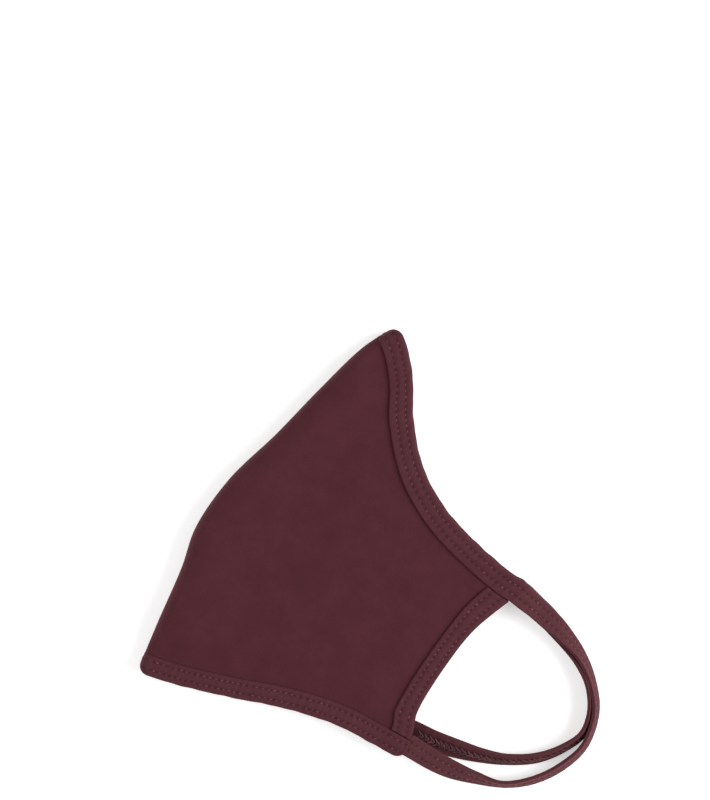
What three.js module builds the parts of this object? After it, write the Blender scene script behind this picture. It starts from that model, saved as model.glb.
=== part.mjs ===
// A contoured cloth face mask, folded flat at its centre front and lying on its right half.
// Millimetres. +X runs from the front seam to the ears, +Y from the chin to the nose, +Z is up.
// The left half of the mask lies uppermost, and the origin is under the middle of the whole.
import * as THREE from "three";

// Sizes of the folded cup
const cupLength = 125.6; // foremost point of the front seam to the chin corner
const cupHeight = 173.4; // chin tip to nose tip, before the tips are rounded
const mouthGap = 4.6; // clear height between the bands of the two halves
const frontRoll = 6; // depth in plan of the rounded front fold
const tipRadius = 4; // rounding of the bands at the nose tip and the chin tip

// Cloth and binding
const clothWall = 1; // two plies of jersey
const bandLeaf = 1; // one leaf of a binding, its turned edge included
const slotClearance = 0.2; // between a leaf and the cloth that it clasps
const edgeClearance = 0.3; // between the cloth's edge and the fold of its binding
const seamGap = 0.3; // between pieces that are sewn to each other
const noseBandWidth = 9.4;
const chinBandWidth = 8.1;
const sideBandWidth = 8.2;
const softStart = 1; // cloth that lies level beside a band
const softRun = 14; // distance from a band at which the cloth has risen to the panel's flat

// Ear loops
const loopReach = 60; // side edge to the furthest point of the loops
const stripWidth = 8.8; // the nose band's strip, drawn in a little where it runs free
const stripThickness = 2; // four plies of jersey
const floorClearance = 0.2; // under a loop that lies on its edge

// The four edges of a half, seen from its side: back as a share of cupLength from the
// foremost point, up as a share of cupHeight from the chin tip
const frontEdge = [
  { back: 0.197, up: 0 },
  { back: 0.142, up: 0.113 },
  { back: 0.08, up: 0.246 },
  { back: 0.025, up: 0.338 },
  { back: 0, up: 0.471 },
  { back: 0.014, up: 0.621 },
  { back: 0.021, up: 0.765 },
  { back: 0.037, up: 0.909 },
  { back: 0.067, up: 1 },
];
const noseEdge = [
  { back: 0.067, up: 1 },
  { back: 0.143, up: 0.972 },
  { back: 0.223, up: 0.928 },
  { back: 0.303, up: 0.861 },
  { back: 0.382, up: 0.811 },
  { back: 0.462, up: 0.779 },
  { back: 0.581, up: 0.753 },
  { back: 0.701, up: 0.746 },
  { back: 0.86, up: 0.748 },
  { back: 0.94, up: 0.755 },
];
const chinEdge = [
  { back: 0.197, up: 0 },
  { back: 0.302, up: 0.038 },
  { back: 0.462, up: 0.102 },
  { back: 0.621, up: 0.171 },
  { back: 0.78, up: 0.223 },
  { back: 0.9, up: 0.247 },
  { back: 0.989, up: 0.259 },
];
const sideEdge = [
  { back: 0.989, up: 0.259 },
  { back: 1, up: 0.278 },
  { back: 0.975, up: 0.321 },
  { back: 0.947, up: 0.354 },
  { back: 0.927, up: 0.407 },
  { back: 0.903, up: 0.54 },
  { back: 0.902, up: 0.592 },
  { back: 0.912, up: 0.649 },
  { back: 0.94, up: 0.755 },
];

// Shallow dents in the uppermost panel: back and up as above, along and across as shares
// of cupHeight, deep as a share of the panel's rise over its bands, turn in degrees from +Y
const dents = [
  { name: "front hollow", back: 0.23, up: 0.56, along: 0.26, across: 0.07, deep: 0.55, turn: 6 },
  { name: "cheek hollow", back: 0.5, up: 0.6, along: 0.12, across: 0.07, deep: 0.3, turn: 60 },
  { name: "jaw hollow", back: 0.48, up: 0.3, along: 0.2, across: 0.05, deep: 0.35, turn: -64 },
  { name: "ear hollow", back: 0.78, up: 0.46, along: 0.16, across: 0.06, deep: 0.3, turn: -40 },
];

// The route of each ear loop from the nose corner to the chin corner. out is a share of
// loopReach beyond the line between its two roots, up a share of that line from the chin
// root, rest how far the strip has come down to lie on its lower edge, tilt in degrees
const leftLoop = [
  { out: 0.25, up: 1.004, rest: 0.16, tilt: 18 },
  { out: 0.43, up: 0.994, rest: 0.42, tilt: 58 },
  { out: 0.59, up: 0.967, rest: 0.8, tilt: 80 },
  { out: 0.735, up: 0.901, rest: 1, tilt: 85 },
  { out: 0.86, up: 0.794, rest: 1, tilt: 88 },
  { out: 0.94, up: 0.625, rest: 1, tilt: 90 },
  { out: 0.912, up: 0.452, rest: 1, tilt: 90 },
  { out: 0.813, up: 0.294, rest: 1, tilt: 86 },
  { out: 0.657, up: 0.18, rest: 1, tilt: 80 },
  { out: 0.474, up: 0.1, rest: 0.8, tilt: 64 },
  { out: 0.314, up: 0.051, rest: 0.4, tilt: 36 },
  { out: 0.17, up: 0.022, rest: 0.12, tilt: 12 },
];
const rightLoop = [
  { out: 0.25, up: 1, rest: 0.9, tilt: 14 },
  { out: 0.42, up: 0.97, rest: 1, tilt: 60 },
  { out: 0.58, up: 0.929, rest: 1, tilt: 81 },
  { out: 0.71, up: 0.866, rest: 1, tilt: 86 },
  { out: 0.824, up: 0.766, rest: 1, tilt: 88 },
  { out: 0.89, up: 0.64, rest: 1, tilt: 88 },
  { out: 0.855, up: 0.515, rest: 1, tilt: 84 },
  { out: 0.745, up: 0.36, rest: 1, tilt: 79 },
  { out: 0.595, up: 0.232, rest: 1, tilt: 75 },
  { out: 0.444, up: 0.15, rest: 1, tilt: 64 },
  { out: 0.28, up: 0.078, rest: 1, tilt: 34 },
  { out: 0.13, up: 0.03, rest: 1, tilt: 12 },
];
// Where the strip's two edges leave the side edge near the chin corner, as shares of that edge
const leftRootShares = { lower: 0.026, upper: 0.13 };
const rightRootShares = { lower: 0.085, upper: 0.185 };

// Heights that follow from the sizes above
const bandThickness = clothWall + 2 * (slotClearance + bandLeaf);
const foldHeight = mouthGap / 2 + bandThickness; // floor to the plane between the halves
const clothAtBand = foldHeight - bandThickness / 2; // cloth's middle at a band, from that plane
const panelRise = (bandThickness - clothWall) / 2; // of the panel's flat over its edges
const edgeInset = bandLeaf + edgeClearance;

// How finely the cloth is divided
const rollSteps = 5;
const lengthSteps = 19;
const heightSteps = 18;
const loopSteps = 46;
const rootSteps = 6; // samples of the side edge's bulge where a loop meets it
const slope = 1e-3; // step for a surface's slopes
const probe = 0.06; // share of a half over which its bands' widths are measured

// A smooth plan curve through rows of shares
function planCurve(rows) {
  const points = rows.map((row) => new THREE.Vector3(row.back * cupLength, row.up * cupHeight, 0));
  return new THREE.CatmullRomCurve3(points, false, "centripetal");
}
const front = planCurve(frontEdge);
const nose = planCurve(noseEdge);
const chin = planCurve(chinEdge);
const side = planCurve(sideEdge);
const rollShare = (2 * frontRoll) / (nose.getLength() + chin.getLength());

function clampShare(share) {
  return THREE.MathUtils.clamp(share, 0, 1);
}

// A point of the half in plan, u from the front seam to the side edge, v from chin to nose
function planPoint(u, v) {
  const [cu, cv] = [clampShare(u), clampShare(v)];
  const across = chin.getPointAt(cu).lerp(nose.getPointAt(cu), cv);
  const upward = front.getPointAt(cv).lerp(side.getPointAt(cv), cu);
  const lower = chin.getPointAt(0).lerp(chin.getPointAt(1), cu);
  const upper = nose.getPointAt(0).lerp(nose.getPointAt(1), cu);
  return across.add(upward).sub(lower.lerp(upper, cv));
}

// Width of a unit step across each edge, measured square to that edge
function squareStep(edge, share, inner, outer) {
  const tangent = edge.getTangentAt(clampShare(share));
  return inner.sub(outer).cross(tangent).length() / probe;
}
function noseStep(u) {
  return squareStep(nose, u, planPoint(u, 1 - probe), planPoint(u, 1));
}
function chinStep(u) {
  return squareStep(chin, u, planPoint(u, probe), planPoint(u, 0));
}
function sideStep(v) {
  return squareStep(side, v, planPoint(1 - probe, v), planPoint(1, v));
}

// How far the bands' rounded tips stand back from the corner, near the front fold
function tipInset(u) {
  const fromFold = Math.max(u, 0) * nose.getLength();
  const left = Math.max(tipRadius - fromFold, 0);
  return tipRadius - Math.sqrt(tipRadius ** 2 - left ** 2);
}

// Rise of the panel over its bands, 0 to 1
function flatShare(u, v) {
  const lift = (distance, band) => THREE.MathUtils.smoothstep(distance, band + softStart, band + softRun);
  const fromNose = lift((1 - v) * noseStep(u), noseBandWidth);
  const fromChin = lift(v * chinStep(u), chinBandWidth);
  return fromNose * fromChin * lift((1 - u) * sideStep(v), sideBandWidth);
}

function dentDepth(u, v) {
  const here = planPoint(u, v);
  return dents.reduce((sum, dent) => {
    const offset = here.clone().sub(new THREE.Vector3(dent.back * cupLength, dent.up * cupHeight, 0));
    offset.applyAxisAngle(new THREE.Vector3(0, 0, 1), THREE.MathUtils.degToRad(-dent.turn));
    const along = offset.y / (dent.along * cupHeight);
    const across = offset.x / (dent.across * cupHeight);
    return sum + dent.deep * Math.exp(-(along ** 2) - across ** 2);
  }, 0);
}

// The cloth's middle surface. run goes from 0 at the seam to 1 round the front roll, and on
// to 2 at the side edge. half is 1 for the left half, above the fold plane, and -1 below it
function runToU(run) {
  if (run < 1) return rollShare * (1 - Math.cos((run * Math.PI) / 2));
  return rollShare + (run - 1) * (1 - rollShare);
}
function uToRun(u) {
  return 1 + (u - rollShare) / (1 - rollShare);
}
function clothPoint(run, v, half) {
  const u = runToU(run);
  const round = run < 1 ? Math.sin((run * Math.PI) / 2) : 1;
  const dented = half > 0 ? 1 - dentDepth(u, v) : 1;
  const rise = panelRise * flatShare(u, v) * dented;
  const height = seamGap / 2 + (clothAtBand - seamGap / 2 + rise) * round;
  const point = planPoint(u, v);
  point.z = foldHeight + half * height;
  return point;
}
function clothNormal(run, v, half) {
  const high = Math.min(v + slope, 1);
  const low = Math.max(v - slope, 0);
  const far = Math.min(run + slope, 2);
  const along = clothPoint(far, v, half).sub(clothPoint(run - slope, v, half));
  const upward = clothPoint(run, high, half).sub(clothPoint(run, low, half));
  return along.cross(upward).normalize().multiplyScalar(half);
}
function offCloth(run, v, half, distance) {
  return clothPoint(run, v, half).addScaledVector(clothNormal(run, v, half), distance);
}

// A closed body from points and triangles, with its faces turned out
function bodyOf(points, triangles) {
  const volume = triangles.reduce((sum, [a, b, c]) => {
    return sum + points[a].dot(points[b].clone().cross(points[c]));
  }, 0);
  const outward = volume < 0 ? triangles.map(([a, b, c]) => [a, c, b]) : triangles;
  const geometry = new THREE.BufferGeometry().setFromPoints(points);
  geometry.setIndex(outward.flat());
  geometry.computeVertexNormals();
  return geometry;
}

// A body lofted through rings of points, its ends capped by the section's own triangles
function loft(rings, section) {
  const count = section.length;
  const triangles = [];
  for (let ring = 0; ring + 1 < rings.length; ring += 1) {
    for (let corner = 0; corner < count; corner += 1) {
      const next = (corner + 1) % count;
      const [a, b] = [ring * count + corner, ring * count + next];
      triangles.push([a, b, b + count], [a, b + count, a + count]);
    }
  }
  const last = (rings.length - 1) * count;
  const contour = section.map(([x, y]) => new THREE.Vector2(x, y));
  const counterclockwise = !THREE.ShapeUtils.isClockWise(contour);
  for (const [a, b, c] of THREE.ShapeUtils.triangulateShape(contour, [])) {
    const cap = counterclockwise ? [a, b, c] : [a, c, b];
    triangles.push([cap[0], cap[2], cap[1]], cap.map((corner) => corner + last));
  }
  return bodyOf(rings.flat(), triangles);
}

// Shares of the way to the side edge and to the nose edge at which the panel is divided
const runShares = [];
for (let step = 0; step < rollSteps; step += 1) runShares.push(step / rollSteps);
for (let step = 0; step <= lengthSteps; step += 1) runShares.push(1 + step / lengthSteps);
const heightShares = Array.from({ length: heightSteps + 1 }, (_, step) => step / heightSteps);

// One panel of the cup, a wall of cloth between its four edges
function panel(half) {
  const points = [];
  const wall = clothWall / 2;
  for (const heightShare of heightShares) {
    const uEnd = 1 - edgeInset / sideStep(heightShare);
    for (const share of runShares) {
      const run = share < 1 ? share : 1 + (share - 1) * (uToRun(uEnd) - 1);
      const u = runToU(run);
      const inset = edgeInset + tipInset(u);
      const low = inset / chinStep(u);
      const v = low + heightShare * (1 - inset / noseStep(u) - low);
      points.push(offCloth(run, v, half, wall), offCloth(run, v, half, -wall));
    }
  }
  const row = runShares.length;
  const at = (i, j, inside) => 2 * (j * row + i) + inside;
  const triangles = [];
  const quad = (a, b, c, d) => triangles.push([a, b, c], [a, c, d]);
  for (let j = 0; j < heightSteps; j += 1) {
    for (let i = 0; i + 1 < row; i += 1) {
      quad(at(i, j, 0), at(i + 1, j, 0), at(i + 1, j + 1, 0), at(i, j + 1, 0));
      quad(at(i, j, 1), at(i, j + 1, 1), at(i + 1, j + 1, 1), at(i + 1, j, 1));
    }
    quad(at(row - 1, j, 0), at(row - 1, j, 1), at(row - 1, j + 1, 1), at(row - 1, j + 1, 0));
    quad(at(0, j + 1, 0), at(0, j + 1, 1), at(0, j, 1), at(0, j, 0));
  }
  for (let i = 0; i + 1 < row; i += 1) {
    quad(at(i, 0, 0), at(i, 0, 1), at(i + 1, 0, 1), at(i + 1, 0, 0));
    quad(at(i + 1, heightSteps, 0), at(i + 1, heightSteps, 1), at(i, heightSteps, 1), at(i, heightSteps, 0));
  }
  return bodyOf(points, triangles);
}

// The rounded fold of a binding, as shares of half its thickness
const foldRound = [
  { inward: 1, off: 1 },
  { inward: 0.35, off: 0.75 },
  { inward: 0, off: 0.25 },
];

// The binding's section: distance in from its outer fold, and distance off the cloth's middle
function bandSection(width) {
  const face = bandThickness / 2;
  const slot = clothWall / 2 + slotClearance;
  const fold = foldRound.map((row) => [row.inward * face, row.off * face]);
  const upper = [[width, slot], [width, face], [width / 2, face], ...fold];
  const lower = [...upper].reverse().map(([inward, off]) => [inward, -off]);
  return [...upper, ...lower, [bandLeaf, -slot], [bandLeaf, slot]];
}

// A binding round the nose edge or the chin edge of both halves, in one strip that turns at
// the front fold. toV gives the height share at a distance in from the edge
function frontBinding(width, toV) {
  const section = bandSection(width);
  const ringAt = (run, half) => section.map(([inward, off]) => {
    const u = runToU(run);
    const rounded = THREE.MathUtils.lerp(tipInset(u), width, inward / width);
    return offCloth(run, toV(u, rounded), half, off);
  });
  const upperRings = [...runShares].reverse().map((run) => ringAt(run, 1));
  const lowerRings = runShares.map((run) => ringAt(run, -1));
  return loft([...upperRings, ...lowerRings], section);
}
function noseV(u, inward) {
  return 1 - inward / noseStep(u);
}
function chinV(u, inward) {
  return inward / chinStep(u);
}

// A binding down one half's side edge, between the nose binding and the chin binding
function sideBinding(half) {
  const section = bandSection(sideBandWidth);
  const rings = heightShares.map((share) => {
    return section.map(([inward, off]) => {
      const u = 1 - inward / sideStep(share);
      const low = chinV(u, chinBandWidth + seamGap);
      const v = THREE.MathUtils.lerp(low, noseV(u, noseBandWidth + seamGap), share);
      return offCloth(uToRun(1 - inward / sideStep(v)), v, half, off);
    });
  });
  return loft(rings, section);
}

// The ear loop's section, a flat strip with eased edges, in shares of its width and thickness
const stripSection = [
  [0.5, 0.2],
  [0.44, 0.5],
  [-0.44, 0.5],
  [-0.5, 0.2],
  [-0.5, -0.2],
  [-0.44, -0.5],
  [0.44, -0.5],
  [0.5, -0.2],
];

// One ear loop: its strip goes on from the nose binding, turns onto its edge, comes round
// and lies flat again at the chin corner
function earLoop(half, rows, root) {
  const noseInner = clothPoint(2, noseV(1, noseBandWidth), half);
  const noseOuter = clothPoint(2, 1, half);
  const away = nose.getTangentAt(1);
  noseInner.addScaledVector(away, seamGap);
  noseOuter.addScaledVector(away, seamGap);
  const chinInner = clothPoint(2, root.upper, half);
  const chinOuter = clothPoint(2, root.lower, half);
  const square = new THREE.Vector3().subVectors(chinOuter, chinInner).normalize();
  square.applyAxisAngle(new THREE.Vector3(0, 0, 1), Math.PI / 2);
  let standOff = seamGap;
  for (let step = 0; step <= rootSteps; step += 1) {
    const v = THREE.MathUtils.lerp(root.lower, root.upper, step / rootSteps);
    const bulge = clothPoint(2, v, half).sub(chinInner).dot(square);
    standOff = Math.max(standOff, bulge + seamGap);
  }
  chinInner.addScaledVector(square, standOff);
  chinOuter.addScaledVector(square, standOff);
  const noseRoot = noseInner.clone().lerp(noseOuter, 0.5);
  const chinRoot = chinInner.clone().lerp(chinOuter, 0.5);

  const stations = rows.map((row) => {
    const lean = THREE.MathUtils.degToRad(row.tilt);
    const lying = (stripWidth * Math.sin(lean) + stripThickness * Math.cos(lean)) / 2;
    const point = chinRoot.clone().lerp(noseRoot, row.up);
    point.x += row.out * loopReach;
    point.z = THREE.MathUtils.lerp(noseRoot.z, lying + floorClearance, row.rest);
    return { point, tilt: row.tilt };
  });
  const ends = [{ point: noseRoot, tilt: 0 }, ...stations, { point: chinRoot, tilt: 0 }];
  const route = new THREE.CatmullRomCurve3(ends.map((end) => end.point));
  const tilts = new THREE.CatmullRomCurve3(ends.map((end) => new THREE.Vector3(end.tilt, 0, 0)));
  const up = new THREE.Vector3(0, 0, 1);
  const rings = [];
  for (let step = 0; step <= loopSteps; step += 1) {
    const t = step / loopSteps;
    const forward = route.getTangent(t).setZ(0).normalize();
    const outward = up.clone().cross(forward).normalize();
    const lean = THREE.MathUtils.degToRad(tilts.getPoint(t).x);
    let across = outward.clone().multiplyScalar(Math.cos(lean)).addScaledVector(up, -Math.sin(lean));
    across.multiplyScalar(stripWidth);
    if (step === 0) across = new THREE.Vector3().subVectors(noseOuter, noseInner);
    if (step === loopSteps) across = new THREE.Vector3().subVectors(chinOuter, chinInner);
    const through = outward.clone().multiplyScalar(Math.sin(lean)).addScaledVector(up, Math.cos(lean));
    through.multiplyScalar(stripThickness);
    const centre = route.getPoint(t);
    rings.push(stripSection.map(([wide, thick]) => {
      return centre.clone().addScaledVector(across, wide).addScaledVector(through, thick);
    }));
  }
  return loft(rings, stripSection);
}

// Each piece is its own mesh with its own cloth
function clothMesh(name, geometry, colour, roughness) {
  const material = new THREE.MeshStandardMaterial({ color: colour, roughness, metalness: 0 });
  const mesh = new THREE.Mesh(geometry, material);
  mesh.name = name;
  return mesh;
}

const folded = new THREE.Group();
const panelColour = 0x4f2a30;
const bandColour = 0x512b31;
const loopColour = 0x5d3338;
const clothRoughness = 0.92;
folded.add(clothMesh("left_panel", panel(1), panelColour, clothRoughness));
folded.add(clothMesh("right_panel", panel(-1), panelColour, clothRoughness));
const noseBand = frontBinding(noseBandWidth, noseV);
const chinBand = frontBinding(chinBandWidth, chinV);
folded.add(clothMesh("nose_binding", noseBand, bandColour, clothRoughness));
folded.add(clothMesh("chin_binding", chinBand, bandColour, clothRoughness));
folded.add(clothMesh("left_side_binding", sideBinding(1), bandColour, clothRoughness));
folded.add(clothMesh("right_side_binding", sideBinding(-1), bandColour, clothRoughness));
folded.add(clothMesh("left_ear_loop", earLoop(1, leftLoop, leftRootShares), loopColour, clothRoughness));
folded.add(clothMesh("right_ear_loop", earLoop(-1, rightLoop, rightRootShares), loopColour, clothRoughness));

// The origin is on the floor, under the middle of the whole mask
const reach = new THREE.Box3().setFromObject(folded);
const middle = reach.getCenter(new THREE.Vector3());
folded.position.set(-middle.x, -middle.y, 0);

const mask = new THREE.Group();
mask.add(folded);
export default mask;
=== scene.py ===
import math

import bmesh
import bpy
import numpy as np
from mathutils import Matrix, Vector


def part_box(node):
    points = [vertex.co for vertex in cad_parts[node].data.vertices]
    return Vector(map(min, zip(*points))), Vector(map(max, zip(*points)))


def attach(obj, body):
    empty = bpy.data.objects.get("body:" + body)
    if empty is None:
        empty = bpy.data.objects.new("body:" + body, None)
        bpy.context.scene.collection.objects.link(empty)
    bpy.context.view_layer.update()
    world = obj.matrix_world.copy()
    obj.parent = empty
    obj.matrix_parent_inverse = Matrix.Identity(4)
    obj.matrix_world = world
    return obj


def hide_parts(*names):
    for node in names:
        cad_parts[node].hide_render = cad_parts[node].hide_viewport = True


# A burgundy jersey face mask, folded flat at its centre front and lying on its right half.
# It is drawn in millimetres on the frame's plan and turned to metres when a mesh is made.
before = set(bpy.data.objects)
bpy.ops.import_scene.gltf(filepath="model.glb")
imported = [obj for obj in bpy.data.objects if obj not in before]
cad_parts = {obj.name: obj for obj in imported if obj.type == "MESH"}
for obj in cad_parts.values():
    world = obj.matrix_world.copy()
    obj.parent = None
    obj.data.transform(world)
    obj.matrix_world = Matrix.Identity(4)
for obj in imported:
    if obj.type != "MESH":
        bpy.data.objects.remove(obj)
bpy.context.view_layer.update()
mm = 0.001

# the folded cup
cup = {
    "length": 125.6,  # foremost point of the front seam to the chin corner
    "height": 173.4,  # chin tip to nose tip, before the tips are rounded
    "mouthGap": 4.6,  # clear height between the bands of the two halves
    "frontRoll": 3.8,  # depth in plan of the rounded front fold
    "tipRadius": 4.0,
    "wall": 1.0,  # two plies of jersey
    "bandThickness": 3.4,
    "seamGap": 0.3,
    "softStart": 1.0,  # distance from a band at which the cloth begins to rise
    "softRun": 14.0,  # and at which it has risen to its flat
    "lowerShift": (0.12, 0.45),  # the lower half lies this much out of line with the upper
    "shiftRun": 1.4,  # run over which it slips there
}
# its four edges: back from the foremost point and up from the chin tip, as shares of the cup
frontShares = [(0.197, 0), (0.142, 0.113), (0.081, 0.246), (0.028, 0.338), (0.005, 0.471),
               (0.02, 0.621), (0.027, 0.765), (0.042, 0.909), (0.0775, 0.994)]
noseShares = [(0.0775, 0.994), (0.142, 0.97), (0.22, 0.926), (0.301, 0.8625), (0.383, 0.813),
              (0.462, 0.779), (0.581, 0.7515), (0.701, 0.742), (0.86, 0.743), (0.94, 0.751)]
chinShares = [(0.197, 0), (0.302, 0.034), (0.462, 0.097), (0.6215, 0.165), (0.781, 0.2165),
              (0.901, 0.239), (0.991, 0.254)]
sideShares = [(0.991, 0.254), (1, 0.276), (0.975, 0.321), (0.947, 0.354), (0.927, 0.407),
              (0.903, 0.54), (0.902, 0.592), (0.912, 0.649), (0.94, 0.751)]

# the strips that bind the edges; rows are the needle rows' distances from the outer fold, leaf is
# how far inwards the fold is closed, slot is half the gap in which it holds the cloth, and lapRise
# is how much a strip rises where it laps the side band
noseBand = {
    "width": 9.4,
    "rows": (2.8, 6.4),
    "leaf": 1.0,
    "slot": 0.56,
    "lapRise": 0.4,
    "endRadius": 0,
    "bump": (0.45, 3.6, 1.7),  # height, distance from its end and spread
}
chinBand = {
    "width": 8.1,
    "rows": (2.6, 6.1),
    "leaf": 1.0,
    "slot": 0.56,
    "lapRise": 0.35,
    "endRadius": 2.2,  # of its corner at the ear side
    "endRun": 1.4,  # over which its thickness runs out there
    "endThin": 0.12,  # squared share of the thickness that is left
}
sideBand = {
    "width": 8.2,
    "rows": (2.5, 6.1),
    "leaf": 1.0,
    "slot": 0.56,
    "lapRise": 0,
    "flare": (0.06, 0.2),  # share by which it is wider at its chin end and its nose end
    "flareReach": (0.25, 0.6),  # shares of its length where the one has ended and the other starts
}
# a strip is pulled thin where it passes the front fold: shares of its plies, its slot and its
# quilting that are left there, and the runs over which the first two are whole again
turnedStrip = {"plies": 0.12, "pliesRun": 1.25, "slot": 0.8, "slotRun": 0.3, "quilting": 0.4}
spacing = 0.4  # of the strips' stations
rollRings = 15  # their stations round the front roll


def mix(a, b, t):
    return a + (b - a) * np.asarray(t)[..., None]


def smooth(x, low, high):
    t = np.clip((x - low) / (high - low), 0, 1)
    return t * t * (3 - 2 * t)


def unit(vectors):
    return vectors / np.linalg.norm(vectors, axis=-1, keepdims=True)


def throughPoints(points, place):
    # a centripetal Catmull-Rom curve; place runs from 0 to 1 over the spans between the points
    pts = np.asarray(points, float)
    ends = np.vstack([2 * pts[0] - pts[1], pts, 2 * pts[-1] - pts[-2]])
    spot = np.clip(place, 0, 1) * (len(pts) - 1)
    span = np.minimum(spot.astype(int), len(pts) - 2)
    t = (spot - span)[:, None]
    p0, p1, p2, p3 = (ends[span + k] for k in range(4))
    d0, d1, d2 = (np.sqrt(np.maximum(np.linalg.norm(b - a, axis=1), 1e-9))[:, None]
                  for a, b in ((p0, p1), (p1, p2), (p2, p3)))
    m1 = ((p1 - p0) / d0 - (p2 - p0) / (d0 + d1) + (p2 - p1) / d1) * d1
    m2 = ((p2 - p1) / d1 - (p3 - p1) / (d1 + d2) + (p3 - p2) / d2) * d1
    return ((2 * t**3 - 3 * t**2 + 1) * p1 + (t**3 - 2 * t**2 + t) * m1
            + (3 * t**2 - 2 * t**3) * p2 + (t**3 - t**2) * m2)


def lengthAlong(points):
    return np.r_[0, np.cumsum(np.linalg.norm(np.diff(points, axis=0), axis=1))]


evenShares = np.linspace(0, 1, 3001)


def evenLine(shares):
    line = throughPoints(np.array(shares) * (cup["length"], cup["height"]), np.linspace(0, 1, 6001))
    along = lengthAlong(line)
    even = np.stack([np.interp(evenShares * along[-1], along, line[:, k]) for k in range(2)], 1)
    return {"points": even, "length": along[-1]}


def at(line, share):
    share = np.clip(share, 0, 1)
    return np.stack([np.interp(share, evenShares, line["points"][:, k]) for k in range(2)], -1)


frontLine, noseLine, chinLine, sideLine = (
    evenLine(shares) for shares in (frontShares, noseShares, chinShares, sideShares))
rollShare = 2 * cup["frontRoll"] / (noseLine["length"] + chinLine["length"])
probe = 0.06  # share of a half over which a band's width is measured
edgeStep = 0.002  # share of an edge over which its direction is taken


def coonsPoint(u, v):
    # u runs from the front seam to the side edge, v from the chin edge to the nose edge
    across = mix(at(chinLine, u), at(noseLine, u), v)
    upward = mix(at(frontLine, v), at(sideLine, v), u)
    lower = mix(chinLine["points"][0], chinLine["points"][-1], u)
    upper = mix(noseLine["points"][0], noseLine["points"][-1], u)
    return across + upward - mix(lower, upper, v)


def planPoint(u, v):
    # past the chin and nose edges the plan goes straight on
    u, within = np.clip(u, 0, 1), np.clip(v, 0, 1)
    edge = coonsPoint(u, within)
    past = v - within
    return np.where(past[..., None] == 0, edge, 2 * edge - coonsPoint(u, within - past))


def squareStep(line, share, inner, outer):
    # width of a unit step across an edge, measured square to it
    middle = np.clip(share, edgeStep, 1 - edgeStep)
    edge = unit(at(line, middle + edgeStep) - at(line, middle - edgeStep))
    step = inner - outer
    return np.abs(step[..., 0] * edge[..., 1] - step[..., 1] * edge[..., 0]) / probe


def noseV(u, inward):
    inner, outer = planPoint(u, 1 - probe + 0 * u), planPoint(u, 1 + 0 * u)
    return 1 - inward / squareStep(noseLine, u, inner, outer)


def chinV(u, inward):
    inner, outer = planPoint(u, probe + 0 * u), planPoint(u, 0 * u)
    return inward / squareStep(chinLine, u, inner, outer)


def sideU(v, inward):
    inner, outer = planPoint(1 - probe + 0 * v, v), planPoint(1 + 0 * v, v)
    return 1 - inward / squareStep(sideLine, v, inner, outer)


def insets(u, v):
    # distances of a point of the cloth from the nose, chin and side edges
    fromNose = (1 - v) / np.maximum(1 - noseV(u, 1.0), 1e-6)
    fromChin = v / np.maximum(chinV(u, 1.0), 1e-6)
    fromSide = (1 - u) / np.maximum(1 - sideU(v, 1.0), 1e-6)
    return fromNose, fromChin, fromSide


def roundInset(distance, radius):
    # how far a rounded corner stands back, at a distance from its end
    left = np.clip(radius - distance, 0, radius)
    return radius - np.sqrt(radius**2 - left**2)


# the panels' cloth; the hollows are deep as a share of its rise over the bands
panelCloth = {
    "grain": 0.72,  # spacing of the mesh
    "hollows": [  # back, up, along, across, deep, turn in degrees
        (0.25, 0.56, 0.27, 0.07, 0.9, 6),
        (0.5, 0.6, 0.12, 0.07, 0.45, 60),
        (0.48, 0.3, 0.2, 0.05, 0.5, -64),
        (0.78, 0.46, 0.16, 0.06, 0.4, -40),
    ],
    "lowerHollows": 0.4,  # how deep they are in the half that lies below
    "swell": 2.1,  # crest behind the front fold of the upper half, which springs open
    "swellBack": 9.0,  # from the front seam to its top
    "swellWidth": 8.5,  # from its top to where it has fallen to a third
    "waveHeight": 0.13,  # of the loose cloth between its edges
    "waveLengths": (9, 34),
    "waves": 18,
    "wavesApart": 80.0,  # the lower half takes its waves from this far away
    "seed": 4,
}
foldHeight = cup["mouthGap"] / 2 + cup["bandThickness"]
clothAtBand = foldHeight - cup["bandThickness"] / 2
panelRise = (cup["bandThickness"] - cup["wall"]) / 2
chance = np.random.default_rng(panelCloth["seed"])
waveLength = chance.uniform(*panelCloth["waveLengths"], panelCloth["waves"])
waveTurn = chance.uniform(0, math.pi, panelCloth["waves"])
wavePhase = chance.uniform(0, 2 * math.pi, panelCloth["waves"])


def looseWaves(x, y):
    total = 0 * x
    for size, turn, phase in zip(waveLength, waveTurn, wavePhase):
        across = x * math.cos(turn) + y * math.sin(turn)
        total = total + np.sin(2 * math.pi * across / size + phase)
    return total / math.sqrt(panelCloth["waves"])


def hollowShare(spot):
    total = 0
    for back, up, along, across, deep, turn in panelCloth["hollows"]:
        offset = spot - (back * cup["length"], up * cup["height"])
        c, s = math.cos(math.radians(turn)), math.sin(math.radians(turn))
        a = (c * offset[..., 1] - s * offset[..., 0]) / (along * cup["height"])
        b = (c * offset[..., 0] + s * offset[..., 1]) / (across * cup["height"])
        total = total + deep * np.exp(-a**2 - b**2)
    return total


def runToU(run):
    # run 0 is the front seam, 1 the end of the roll and 2 the side edge
    rolled = rollShare * (1 - np.cos(run * math.pi / 2))
    return np.where(run < 1, rolled, rollShare + (run - 1) * (1 - rollShare))


def uToRun(u):
    return 1 + (u - rollShare) / (1 - rollShare)


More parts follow.
